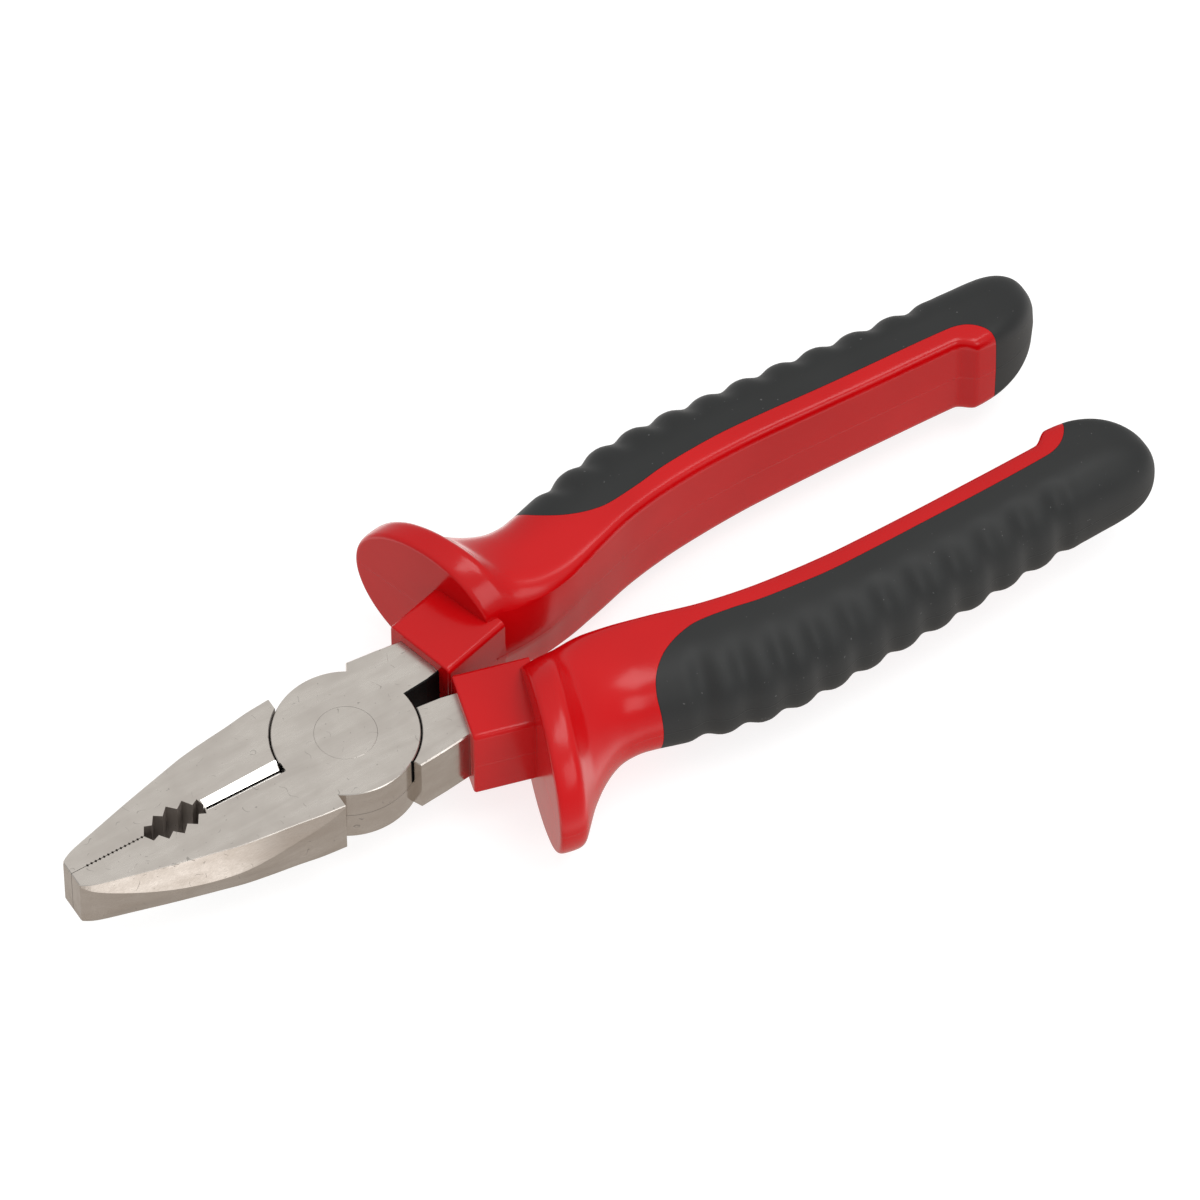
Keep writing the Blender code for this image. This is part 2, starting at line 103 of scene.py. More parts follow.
# The corners of one tooth's groove: share of the pitch, and share of the depth.
GROOVE = ((0.2, 0.0), (0.5, 1.0), (0.8, 0.0))
PIPE_GRIP = (
    (-37.85, 1.65),
    (-36.6, 1.15),
    (-35.5, 2.7),
    (-34.2, 1.75),
    (-32.8, 3.15),
    (-31.45, 1.7),
    (-30.0, 2.75),
    (-28.9, 1.05),
    (-27.75, 1.65),
)
CUTTER_START_X = -27.3
CUTTER_RUN_IN = 0.2
CUTTER_END_X = CUTTER_RUN_IN - DISC_RADIUS
CUTTER_MOUTH = 1.43
CUTTER_DEPTH = 1.45
CUTTER_NECK = 0.1
CUTTER_LAND = 0.2

# Where the walls between the tangs keep their black scale, painted near black as the shade of the narrow slot
# too.
SLOT_START_X = 6.0
SLOT_DEPTH = 2.6
SLOT_SPREAD = 0.25
SLOT_WALL_WIDTH = 7.0
SLOT_WALL_REACH = 1.0

RIVET_HEAD_RADIUS = 5.3
RIVET_SHANK_RADIUS = 4.0
RIVET_HEAD_DEPTH = 1.6
ROUND_SEGMENTS = 160

# Tang: X, near edge, far edge, thickness as a share of the head's.
TANG = (
    (2.0, 1.5, 8.0, 1.0),
    (6.5, 1.5, 10.6, 1.0),
    (7.3, 1.5, 12.2, 1.0),
    (12.4, 1.6, 11.75, 1.0),
    (17.0, 2.05, 11.2, 1.0),
    (22.0, 3.1, 11.3, 1.0),
    (31.0, 5.5, 12.8, 0.918),
    (42.0, 8.8, 15.4, 0.787),
    (55.0, 12.4, 18.6, 0.689),
    (70.0, 15.3, 21.1, 0.623),
    (90.0, 16.8, 22.2, 0.574),
    (115.0, 16.6, 21.6, 0.541),
    (132.0, 15.4, 20.2, 0.492),
)

TANG_STRAIGHT_END_X = 22.0
TANG_PITCH = 3.0
TANG_BLUNT = 0.22
POCKET_BLUNT = 0.2
POCKET_START_X = 14.0

COLLAR_ANGLE = 15.0
COLLAR_FRONT = 19.6
COLLAR_BACK = 33.0
COLLAR_INNER = -5.0
COLLAR_OUTER = 8.74
COLLAR_HALF_HEIGHT = 8.3
COLLAR_CORNER = 1.1
COLLAR_LIP = 0.45
COLLAR_PITCH = 2.0
COLLAR_CORNER_STEPS = 8

# Grip sections: X and Y of the inner face, lean in degrees, width, inner part's width, half height, how
# much of the inner quarter curve is used, its exponent, the outer part's exponent.
GRIP_SECTIONS = (
    (31.3, 3.10, 18, 30.9, 14.7, 15.0, 0.825, 2.0, 2.0),
    (31.4, 3.10, 18, 31.4, 14.7, 15.45, 0.825, 2.0, 2.0),
    (31.7, 3.10, 18, 31.8, 14.7, 15.8, 0.825, 2.0, 2.0),
    (32.3, 3.10, 18, 32.1, 14.7, 16.05, 0.825, 2.0, 2.0),
    (33.8, 3.15, 18, 32.4, 14.5, 16.3, 0.830, 2.0, 2.0),
    (35.4, 3.20, 18, 32.5, 14.2, 16.4, 0.845, 2.0, 2.0),
    (36.3, 3.22, 18, 32.2, 13.8, 16.05, 0.850, 2.0, 2.0),
    (37.0, 3.26, 18, 31.2, 13.1, 15.1, 0.849, 2.1, 2.0),
    (37.8, 3.32, 18, 29.8, 12.3, 14.0, 0.846, 2.25, 2.0),
    (39.3, 3.45, 18, 27.3, 11.0, 12.6, 0.850, 2.6, 2.0),
    (42.1, 3.85, 18, 23.6, 9.6, 11.4, 0.880, 3.4, 2.1),
    (45.2, 4.75, 18, 20.4, 8.4, 10.7, 0.916, 4.6, 2.2),
    (48.4, 5.75, 18, 18.9, 7.5, 10.4, 0.948, 6.0, 2.25),
    (51.3, 6.80, 18, 18.3, 6.9, 10.4, 0.968, 7.4, 2.3),
    (55.0, 8.05, 17, 18.1, 6.6, 10.6, 0.982, 8.5, 2.3),
    (62.0, 10.20, 14, 17.9, 6.3, 10.8, 0.984, 9.0, 2.3),
    (70.0, 11.70, 9, 17.8, 6.3, 10.8, 0.984, 9.0, 2.3),
    (78.0, 12.50, 4, 17.0, 6.3, 10.7, 0.984, 9.0, 2.3),
    (86.0, 12.85, 1, 16.15, 6.3, 10.45, 0.984, 9.0, 2.3),
    (92.0, 12.85, 0, 15.85, 6.3, 10.3, 0.984, 9.0, 2.3),
    (98.0, 12.75, 0, 15.6, 6.2, 10.1, 0.984, 9.0, 2.3),
    (106.0, 12.55, 0, 15.3, 6.2, 9.9, 0.984, 9.0, 2.3),
    (113.0, 12.35, 0, 14.9, 6.2, 9.8, 0.984, 9.0, 2.3),
    (120.0, 12.20, 0, 14.4, 6.2, 9.8, 0.984, 9.0, 2.3),
    (126.8, 12.00, 0, 14.0, 6.2, 9.8, 0.984, 9.0, 2.3),
)
HEEL_SECTIONS = (
    (127.6, 11.93, 0, 13.95, 6.25, 9.8, 0.984, 9.0, 2.3),
    (128.1, 11.75, 0, 14.1, 6.4, 9.8, 0.984, 9.0, 2.3),
    (128.8, 11.25, 0, 14.55, 6.8, 9.8, 0.984, 9.0, 2.3),
    (129.6, 10.55, 0, 15.2, 7.35, 9.8, 0.984, 9.0, 2.3),
    (130.3, 10.08, 0, 15.65, 7.75, 9.8, 0.984, 9.0, 2.3),
    (130.9, 9.92, 0, 15.8, 7.9, 9.8, 0.984, 8.6, 2.3),
    (134.0, 9.90, 0, 15.7, 7.8, 9.75, 0.982, 7.0, 2.3),
    (137.0, 10.15, 0, 15.4, 7.6, 9.5, 0.975, 5.2, 2.3),
    (139.6, 10.85, 0, 14.5, 7.2, 9.0, 0.965, 4.2, 2.3),
    (141.8, 12.00, 0, 12.85, 6.4, 8.2, 0.950, 3.6, 2.3),
    (143.6, 13.50, 0, 10.5, 5.3, 7.0, 0.935, 3.2, 2.3),
    (144.9, 15.10, 0, 7.8, 4.0, 5.5, 0.920, 2.9, 2.3),
    (145.7, 16.60, 0, 5.1, 2.6, 3.7, 0.910, 2.6, 2.3),
    (146.05, 17.70, 0, 2.9, 1.5, 2.1, 0.900, 2.4, 2.3),
    (146.15, 18.40, 0, 1.3, 0.65, 0.95, 0.900, 2.4, 2.3),
)
SECTION_POINTS = 46
CURVE_STEPS = 160
# How much closer together a section's points stand where it turns.
TURN_WEIGHT = 1.1

# Stretches of the grip with evenly spaced sections: from X, to X, and the pitch. The tip's follow.
GRIP_STRETCHES = (
    (31.3, 32.4, 0.12),
    (32.4, 40.0, 0.35),
    (40.0, 52.0, 0.5),
    (52.0, 127.0, 0.5),
    (127.0, 131.4, 0.22),
    (131.4, 142.0, 0.5),
    (142.0, 145.6, 0.25),
)
GRIP_TIP_STATIONS = (145.8, 145.95, 146.06, 146.12, 146.15)

RIB_FIRST_X = 54.4
RIB_PITCH = 7.05
RIB_COUNT = 11
RIB_DEPTH = 0.8
RIB_FADE_FROM = 0.12
RIB_FADE_TO = 0.7

SKIN_LINE = (
    (46.9, 24.2),
    (47.3, 21.7),
    (48.7, 19.2),
    (51.1, 17.0),
    (53.6, 15.6),
    (56.6, 14.6),
    (60.0, 14.2),
    (66.0, 14.9),
    (71.0, 15.8),
    (77.0, 16.4),
    (84.0, 16.8),
    (92.0, 16.7),
    (104.0, 16.3),
    (119.0, 15.9),
    (127.2, 15.55),
    (129.6, 15.2),
    (131.4, 14.4),
    (132.9, 13.0),
    (133.9, 11.2),
    (134.3, 8.8),
)
SKIN_THICKNESS = 2.4

CORE_STATIONS = (46.0, 50.0, 55.0, 62.0, 70.0, 78.0, 86.0, 98.0, 113.0, 127.0, 130.4, 132.5, 135.5)
CORE_END_X = 136.6
CORE_END_INSET = 0.6
CORE_INNER_INSET = 1.2
# Where the core's inner side draws in as far as its other sides.
CORE_CLOSE_FROM_X = 127.0
CORE_CLOSE_TO_X = 132.5

# Gaps
JAW_GAP = 0.1
LAP_GAP = 0.08
ARC_GAP = 0.24
RIVET_GAP = 0.03
TANG_GAP = 0.05
SKIN_SEAM = 0.06
SKIN_UNDER = 0.2
PAST = 3.0
# Past the whole grip, for what is cut from it.
FIELD_X = 160.0
FIELD_Y = 42.0
FIELD_Z = 30.0
MERGE_DISTANCE = 0.004

# Edges that turn by more than this stay sharp.
LEVER_SHARP_DEGREES = 4.0
RIVET_SHARP_DEGREES = 30.0
GRIP_SHARP_DEGREES = 38.0

# Room tone by height, from straight down at 0 to straight up at 1.
SKY_TONES = (
    (0.0, (0.50, 0.46, 0.42)),
    (0.135, (0.57, 0.53, 0.49)),
    (0.17, (1.60, 1.54, 1.49)),
    (0.22, (1.50, 1.47, 1.44)),
    (0.30, (0.82, 0.80, 0.79)),
    (0.5, (0.52, 0.52, 0.52)),
    (0.75, (0.72, 0.72, 0.72)),
    (0.9, (0.93, 0.92, 0.90)),
    (1.0, (1.05, 1.04, 1.03)),
)
SKY_STRENGTH = 1.0
# Name, place, size and power in watts.
LIGHTS = (
    ("key", (0.31, -0.27, 1.14), (0.60, 0.54), 4.2),
    ("front", (0.27, -0.95, 0.58), (0.52, 0.50), 2.2),
)
LIGHT_TARGET = (0.03, 0.0, 0.0)
FLOOR_REACH = 4.0
FLOOR_DROP = 0.0004
FLOOR_GLOW = 0.78

# The camera's direction from the pivot and its roll, in degrees, and its distance in metres.
VIEW_AZIMUTH = -31.078
VIEW_ELEVATION = 54.89
VIEW_ROLL = -0.486
VIEW_DISTANCE = 2.32647
# How far to the right of the picture's middle, and above it, the pivot stands, in millimetres.
PIVOT_RIGHT = -42.150
PIVOT_UP = -25.512
LENS = 420.0
SENSOR = 36.0

# Steel: colour, worn colour, roughness, scale of the grind lines, their turn, their depth, metallic.
GROUND = ((0.60, 0.565, 0.525), (0.47, 0.435, 0.40), 0.29, (700, 7000, 7000), (0, 0, 0.35), 0.005, 1.0)
FLANK = ((0.66, 0.615, 0.57), (0.52, 0.465, 0.415), 0.15, (500, 7000, 2500), (0, 0, 0), 0.005, 1.0)
LAP = ((0.35, 0.33, 0.31), (0.2, 0.19, 0.18), 0.45, (3000, 3000, 9000), (0, 0, 0), 0.006, 1.0)
CUTTER = ((0.88, 0.86, 0.84), (0.78, 0.76, 0.73), 0.14, (1500, 9000, 900), (0, 0, 0), 0.002, 1.0)
TEETH = ((0.085, 0.068, 0.06), (0.24, 0.205, 0.18), 0.42, (3200, 3200, 220), (0, 0, 0), 0.02, 0.3)
# Black scale for the slot between the tangs, darkened to near black as painted shade of the slot.
SLOT_SCALE_AND_SHADE = ((0.02, 0.02, 0.02), (0.01, 0.01, 0.01), 0.6, (3000, 3000, 3000), (0, 0, 0), 0.02, 1.0)
STEEL_PITS = 0.5
STEEL_MARKS = 0.5


def placed(point, side):
    x, y, z = point
    return Vector((x, side * y, side * z + TOP)) * MM


def smooth(table, x):
    """Every column of the table at x, by cubic interpolation between its rows."""
    last = len(table) - 1
    if x <= table[0][0]:
        return (x, *table[0][1:])
    if x >= table[last][0]:
        return (x, *table[last][1:])
    i = max(j for j in range(last) if table[j][0] <= x)
    x0, x1 = table[i][0], table[i + 1][0]
    t = (x - x0) / (x1 - x0)
    values = []
    for column in range(1, len(table[0])):
        ends = []
        for j in (i, i + 1):
            before, after = max(j - 1, 0), min(j + 1, last)
            rise = table[after][column] - table[before][column]
            ends.append(rise / (table[after][0] - table[before][0]) * (x1 - x0))
        a, b = table[i][column], table[i + 1][column]
        near = (1 + 2 * t) * (1 - t) ** 2 * a + t * (1 - t) ** 2 * ends[0]
        far = t * t * (3 - 2 * t) * b + t * t * (t - 1) * ends[1]
        values.append(near + far)
    return (x, *values)


def ramp(value, low, high):
    t = min(max((value - low) / (high - low), 0.0), 1.0)
    return t * t * (3 - 2 * t)


def steps(start, end, pitch):
    """Evenly spaced values from start to end, both included, no further apart than the pitch."""
    count = max(1, math.ceil((end - start) / pitch))
    return [start + (end - start) * i / count for i in range(count + 1)]


def loft(name, rings, side, material=None):
    """A closed solid through rings that hold the same number of points."""
    mesh = bpy.data.meshes.new(name)
    shape = bmesh.new()
    rows = [[shape.verts.new(placed(point, side)) for point in ring] for ring in rings]
    count = len(rows[0])
    for row, following in zip(rows, rows[1:]):
        for i in range(count):
            j = (i + 1) % count
            shape.faces.new((row[i], row[j], following[j], following[i]))
    shape.faces.new(list(reversed(rows[0])))
    shape.faces.new(rows[-1])
    bmesh.ops.recalc_face_normals(shape, faces=shape.faces)
    shape.to_mesh(mesh)
    shape.free()
    obj = bpy.data.objects.new(name, mesh)
    bpy.context.scene.collection.objects.link(obj)
    if material:
        mesh.materials.append(material)
    return obj


def plate(name, outline, low, high, side, material=None):
    rings = [[(x, y, z) for x, y in outline] for z in (low, high)]
    return loft(name, rings, side, material)


def turned(name, profile, side, material=None):
    """A solid of revolution about the pivot axis through (radius, height) pairs."""
    rings = []
    for radius, z in profile:
        ring = []
        for i in range(ROUND_SEGMENTS):
            angle = 2 * math.pi * i / ROUND_SEGMENTS
            ring.append((radius * math.cos(angle), radius * math.sin(angle), z))
        rings.append(ring)
    return loft(name, rings, side, material)


def combine(obj, other, operation):
    """Joins another solid to this one or cuts it away. New faces keep the other solid's material."""
    modifier = obj.modifiers.new("combine", "BOOLEAN")
    modifier.operation = operation
    modifier.solver = "EXACT"
    modifier.material_mode = "TRANSFER"
    modifier.object = other
    graph = bpy.context.evaluated_depsgraph_get()
    result = bpy.data.meshes.new_from_object(obj.evaluated_get(graph), depsgraph=graph)
    obj.modifiers.clear()
    old = obj.data
    obj.data = result
    result.name = obj.name
    bpy.data.meshes.remove(old)
    bpy.data.objects.remove(other, do_unlink=True)
    return obj


def dress_flanks(obj, flank):
    """Gives the ground side walls their own finish, apart from the top and bottom faces."""
    obj.data.materials.append(flank)
    index = len(obj.data.materials) - 1
    for face in obj.data.polygons:
        if face.material_index == 0 and abs(face.normal.z) < 0.6:
            face.material_index = index


def finish_mesh(obj, sharp):
    """Clears slivers, then shades smooth between sharp edges with area-weighted normals."""
    shape = bmesh.new()
    shape.from_mesh(obj.data)
    bmesh.ops.remove_doubles(shape, verts=shape.verts, dist=MERGE_DISTANCE * MM)
    bmesh.ops.dissolve_degenerate(shape, edges=shape.edges, dist=MERGE_DISTANCE * MM)
    bmesh.ops.recalc_face_normals(shape, faces=shape.faces)
    for face in shape.faces:
        face.smooth = True
    shape.to_mesh(obj.data)
    shape.free()
    obj.data.set_sharp_from_angle(angle=math.radians(sharp))
    weighted = obj.modifiers.new("weighted_normals", "WEIGHTED_NORMAL")
    weighted.keep_sharp = True
    weighted.weight = 60
    return obj


# Steel


def half_thickness(x):
    share = min(max((TAPER_START_X - x) / (TAPER_START_X - NOSE_X), 0.0), 1.0)
    return (HEAD_THICKNESS + share * (NOSE_THICKNESS - HEAD_THICKNESS)) / 2


def jaw_ring(x, shrink=0.0):
    """One section of the -Y jaw: two shallow ground bevels on the flank, and broken edges."""
    half_width = smooth(JAW_OUTLINE, x)[1] - shrink
    along = min(max((x - NOSE_X) / (SHOULDER_X - NOSE_X), 0.0), 1.0)
    swell = math.sin(math.pi * along) ** 0.8 if 0 < along < 1 else 0.0
    z = half_thickness(x) - shrink
    fade = FLANK_FADE * ramp(along, FLANK_FADE_FROM, FLANK_FADE_TO)
    crest = half_width + FLANK_STEP + FLANK_BULGE * swell * (1 - fade)
    upper = z - FLANK_EDGE_DEPTH - FLANK_UPPER_DEPTH * swell
    lower = -z + FLANK_EDGE_DEPTH + FLANK_LOWER_DEPTH * swell
    blunt = EDGE_BREAK
    return [
        (x, 1.0, z),
        (x, -half_width + blunt, z),
        (x, -half_width, z - blunt * 0.8),
        (x, -crest, upper),
        (x, -crest, lower),
        (x, -half_width, -z + blunt * 1.3),
        (x, -half_width + blunt * 1.3, -z),
        (x, 1.0, -z),
    ]


def jaw_rings():
    nose = [jaw_ring(NOSE_X, EDGE_BREAK), jaw_ring(NOSE_X + EDGE_BREAK)]
    stations = steps(NOSE_X, SHOULDER_X, (SHOULDER_X - NOSE_X) / JAW_STATIONS)
    return nose + [jaw_ring(x) for x in stations[1:]]


def jaw_face_outline():
    """Plan of what is cut away on the closing side of the -Y jaw: teeth, pipe grip and flats."""
    flat = -JAW_GAP / 2
    outline = [(NOSE_X - PAST, PAST), (NOSE_X - PAST, flat)]
    pitch = (SERRATION_END_X - SERRATION_START_X) / SERRATION_COUNT
    for i in range(SERRATION_COUNT):
        start = SERRATION_START_X + i * pitch
        for share, depth in GROOVE:
            outline.append((start + share * pitch, flat - depth * SERRATION_DEPTH))
    outline.append((SERRATION_END_X, flat))
    for x, depth in PIPE_GRIP:
        outline.append((x, -depth))
    outline.append((CUTTER_START_X, flat))
    outline.append((SHOULDER_X + PAST, flat))
    outline.append((SHOULDER_X + PAST, PAST))
    return outline


def cutter_rings(direction):
    """What is ground off one side of the wire cutter, above or below the middle plane."""
    neck = JAW_GAP / 2 + CUTTER_NECK
    mouth = CUTTER_MOUTH + PAST * (CUTTER_MOUTH - neck) / CUTTER_DEPTH
    corners = (
        (0.6, CUTTER_LAND),
        (-JAW_GAP / 2, CUTTER_LAND),
        (-neck, TOP - CUTTER_DEPTH),
        (-mouth, TOP + PAST),
        (0.6, TOP + PAST),
    )
    return [[(x, y, direction * z) for y, z in corners] for x in (CUTTER_START_X, CUTTER_END_X)]


def tang_rings(grow, start, end, blunt):
    stations = [start]
    stations += [row[0] for row in TANG if start < row[0] <= TANG_STRAIGHT_END_X and row[0] < end]
    stations += [x for x in steps(TANG_STRAIGHT_END_X, end, TANG_PITCH)[1:] if x > start]
    rings = []
    for x in stations:
        near, far, high = smooth_tang(x)
        near, far, high = near - grow, far + grow, high * TOP + grow
        ring = [
            (x, near + blunt, -high),
            (x, far - blunt, -high),
            (x, far, -high + blunt),
            (x, far, high - blunt),
            (x, far - blunt, high),
            (x, near + blunt, high),
            (x, near, high - blunt),
            (x, near, -high + blunt),
        ]
        rings.append(ring)
    return rings


def smooth_tang(x):
    """The tang's near edge, far edge and share of the head's thickness: straight by the disc, then curved."""
    if x >= TANG_STRAIGHT_END_X:
        return smooth([row for row in TANG if row[0] >= TANG_STRAIGHT_END_X], x)[1:]
    rows = [row for row in TANG if row[0] <= TANG_STRAIGHT_END_X]
    places = [row[0] for row in rows]
    return [float(np.interp(x, places, [row[column] for row in rows])) for column in (1, 2, 3)]


def rivet_profile(grow, past):
    head, shank = RIVET_HEAD_RADIUS + grow, RIVET_SHANK_RADIUS + grow
    neck = TOP - RIVET_HEAD_DEPTH
    if past:
        inner = [(head, -TOP), (shank, -neck), (shank, neck), (head, TOP)]
        return [(head, -TOP - past), *inner, (head, TOP + past)]
    rim = 0.03
    return [
        (head - rim, -TOP),
        (head, -TOP + rim),
        (shank, -neck),
        (shank, neck),
        (head, TOP - rim),
        (head - rim, TOP),
    ]


def build_lever(name, side, finishes):
    steel, flank, ground, polished, dark, slot_scale_and_shade = finishes
    jaw = loft(name, jaw_rings(), side, steel)
    combine(jaw, plate("face", jaw_face_outline(), -TOP - PAST, TOP + PAST, side, dark), "DIFFERENCE")
    rim = EDGE_BREAK
    disc_profile = (
        (DISC_RADIUS - rim, -TOP),
        (DISC_RADIUS, -TOP + rim),
        (DISC_RADIUS, TOP - rim),
        (DISC_RADIUS - rim, TOP),
    )
    combine(jaw, turned("disc", disc_profile, side, steel), "UNION")
    tang = loft("tang", tang_rings(0.0, TANG[0][0], TANG[-1][0], TANG_BLUNT), side, steel)
    combine(jaw, tang, "UNION")
    mouth = DISC_RADIUS + ARC_GAP
    lap_profile = (
        (mouth + rim + PAST, -TOP - PAST),
        (mouth, -TOP + rim),
        (mouth, LAP_GAP / 2),
    )
    combine(jaw, turned("lap", lap_profile, side, ground), "DIFFERENCE")
    for direction in (1, -1):
        wedge = loft("wedge", cutter_rings(direction), side, polished)
        combine(jaw, wedge, "DIFFERENCE")
    bore = turned("bore", rivet_profile(RIVET_GAP, PAST), side, ground)
    combine(jaw, bore, "DIFFERENCE")
    finish_mesh(jaw, LEVER_SHARP_DEGREES)
    dress_flanks(jaw, flank)
    paint_slot_scale_and_shade(jaw, side, slot_scale_and_shade)
    return jaw


def paint_slot_scale_and_shade(lever, side, slot_scale_and_shade):
    """The forged walls between the tangs aren't ground, and keep their black scale. The near-black colour,
    also laid on the disc's side by the slot, is partly painted shade of the narrow slot.
    """
    lever.data.materials.append(slot_scale_and_shade)
    index = len(lever.data.materials) - 1
    for face in lever.data.polygons:
        x, y = face.center.x / MM, side * face.center.y / MM
        facing_in = side * face.normal.y < -0.6
        upright = abs(face.normal.z) < 0.3
        by_tang = x > SLOT_START_X and y < SLOT_DEPTH + SLOT_SPREAD * (x - SLOT_START_X)
        near_disc = math.hypot(x, y) < DISC_RADIUS + SLOT_WALL_REACH
        by_disc = near_disc and x > 0.0 and 0.0 < y < SLOT_WALL_WIDTH
        if (by_tang and facing_in) or (by_disc and upright):
            face.material_index = index


# Grip


def section_curve(width, inner, high, used, power, outer_power):
    """Dense (lateral, z) points round half a section, from the middle of the inner face over the top
    to the middle of the outer side."""
    outer = width - inner
    start = math.acos(min(used ** (power / 2), 1.0))
    points = [(0.0, 0.0)]
    for i in range(CURVE_STEPS + 1):
        angle = start + (math.pi / 2 - start) * (i / CURVE_STEPS) ** 1.5
        c, s = abs(math.cos(angle)), abs(math.sin(angle))
        points.append((inner * (1 - c ** (2 / power)), high * s ** (2 / power)))
    for i in range(1, CURVE_STEPS + 1):
        angle = math.pi / 2 * (1 - i / CURVE_STEPS)
        c, s = abs(math.cos(angle)), abs(math.sin(angle))
        points.append((inner + outer * c ** (2 / outer_power), high * s ** (2 / outer_power)))
    return np.array(points)


def section_outline(width, inner, high, used, power, outer_power):
    """(lateral, z) pairs right round a section, closer together where it turns."""
    curve = section_curve(width, inner, high, used, power, outer_power)
    legs = np.diff(curve, axis=0)
    length = np.hypot(legs[:, 0], legs[:, 1])
    heading = np.unwrap(np.arctan2(legs[:, 1], legs[:, 0]))
    turn = np.concatenate(([0.0], np.abs(np.diff(heading))))
    measure = length / length.sum() + TURN_WEIGHT * turn / turn.sum()
    along = np.concatenate(([0.0], np.cumsum(measure)))
    wanted = np.linspace(0.0, along[-1], SECTION_POINTS + 1)
    lateral = np.interp(wanted, along, curve[:, 0])
    height = np.interp(wanted, along, curve[:, 1])
    upper = list(zip(lateral.tolist(), height.tolist()))
    lower = [(y, -z) for y, z in reversed(upper[1:-1])]
    return upper + lower


def rib_depth(x):
    along = (x - RIB_FIRST_X) / RIB_PITCH
    if not -0.5 < along < RIB_COUNT - 0.5:
        return 0.0
    wave = 0.5 + 0.5 * math.cos(2 * math.pi * along)
    return RIB_DEPTH * wave**1.3


def grip_ring(row, inset, inner_inset, ribs):
    """One section of the grip in space, drawn in by an inset for the core under the skin."""
    x, y, lean, width, inner, high, used, power, outer_power = row
    lean = math.radians(lean)
    across = (-math.sin(lean), math.cos(lean))
    outline = section_outline(
        width - inset - inner_inset, inner - inner_inset, high - inset, used, power, outer_power
    )
    outer = width - inner
    draw = rib_depth(x + across[0] * width) if ribs else 0.0
    ring = []
    for lateral, z in outline:
        share = (lateral + inner_inset - inner) / outer
        pull = draw * ramp(share, RIB_FADE_FROM, RIB_FADE_TO)
        lateral += inner_inset
        if pull:
            shrink = 1 - pull / max(math.hypot(lateral - inner, z), 1.0)
            lateral = inner + (lateral - inner) * shrink
            z *= shrink
        ring.append((x + across[0] * lateral, y + across[1] * lateral, z))
    return ring


def grip_stations():
    stations = [GRIP_STRETCHES[0][0]]
    for start, end, pitch in GRIP_STRETCHES:
        stations += steps(start, end, pitch)[1:]
    return [*stations, *GRIP_TIP_STATIONS]


def grip_rings(ribs):
    table = GRIP_SECTIONS + HEEL_SECTIONS
    return [grip_ring(smooth(table, x), 0.0, 0.0, ribs) for x in grip_stations()]


def core_sections(grow):
    """Sections of the core under the skin, drawn in by the skin less what a void grows by."""
    table = GRIP_SECTIONS + HEEL_SECTIONS
    inset = SKIN_THICKNESS + SKIN_UNDER - grow
    rings = []
    for x in CORE_STATIONS:
        closed = ramp(x, CORE_CLOSE_FROM_X, CORE_CLOSE_TO_X)
        inner_inset = CORE_INNER_INSET - grow + (inset - CORE_INNER_INSET + grow) * closed
        rings.append(grip_ring(smooth(table, x), inset, inner_inset, False))
    end = list(smooth(table, CORE_STATIONS[-1]))
    end[0] = CORE_END_X + grow
    rings.append(grip_ring(end, inset + CORE_END_INSET, inset + CORE_END_INSET, False))
    return rings


def dense_line(points, pitch):
    """A Catmull-Rom curve through plan points, sampled at about the pitch."""
    line = []
    ends = [points[0], *points, points[-1]]
    for a, b, c, d in zip(ends, ends[1:], ends[2:], ends[3:]):
        count = max(1, round(math.dist(b, c) / pitch))
        for i in range(count):
            t = i / count
            line.append(
                tuple(
                    0.5
                    * (
                        2 * q
                        + (r - p) * t
                        + (2 * p - 5 * q + 4 * r - s) * t * t
                        + (3 * q - p - 3 * r + s) * t**3
                    )
                    for p, q, r, s in zip(a, b, c, d)
                )
            )
    return [*line, points[-1]]


def skin_outline(grow):
    """Plan of the skin's side of the line where it meets the core, moved towards the core by grow."""
    dense = dense_line(SKIN_LINE, 0.7)
    line = []
    last = len(dense) - 1
    for i, (x, y) in enumerate(dense):
        (x0, y0), (x1, y1) = dense[max(i - 1, 0)], dense[min(i + 1, last)]
        length = math.hypot(x1 - x0, y1 - y0)
        line.append((x + grow * (y1 - y0) / length, y - grow * (x1 - x0) / length))
    front, back = line[0], line[-1]
    return [(front[0], FIELD_Y), *line, (back[0], -PAST), (FIELD_X, -PAST), (FIELD_X, FIELD_Y)]


def collar_rings():
    """The square sleeve round the tang in front of the guard, with a rounded front lip."""
    lean = math.radians(COLLAR_ANGLE)
    along, across = (math.cos(lean), math.sin(lean)), (-math.sin(lean), math.cos(lean))
    stations = [
        (COLLAR_FRONT + COLLAR_LIP * (1 - math.cos(a)), COLLAR_LIP * (1 - math.sin(a)))
        for a in (0.0, 0.39, 0.785, 1.18, math.pi / 2)
    ]
    body = steps(COLLAR_FRONT + COLLAR_PITCH, COLLAR_BACK, COLLAR_PITCH)
    stations += [(distance, 0.0) for distance in body]
    corners = (
        (COLLAR_OUTER, COLLAR_HALF_HEIGHT, 0),
        (COLLAR_INNER, COLLAR_HALF_HEIGHT, 90),
        (COLLAR_INNER, -COLLAR_HALF_HEIGHT, 180),
        (COLLAR_OUTER, -COLLAR_HALF_HEIGHT, 270),
    )
    rings = []
    for distance, shrink in stations:
        ring = []
        for side, z, start in corners:
            centre_side = side - math.copysign(COLLAR_CORNER, side)
            centre_z = z - math.copysign(COLLAR_CORNER, z)
            for step in range(COLLAR_CORNER_STEPS + 1):
                angle = math.radians(start + 90 / COLLAR_CORNER_STEPS * step)
                radius = COLLAR_CORNER - shrink
                lateral = centre_side + radius * math.cos(angle)
                height = centre_z + radius * math.sin(angle)
                x = along[0] * distance + across[0] * lateral
                y = along[1] * distance + across[1] * lateral
                ring.append((x, y, height))
        rings.append(ring)
    return rings


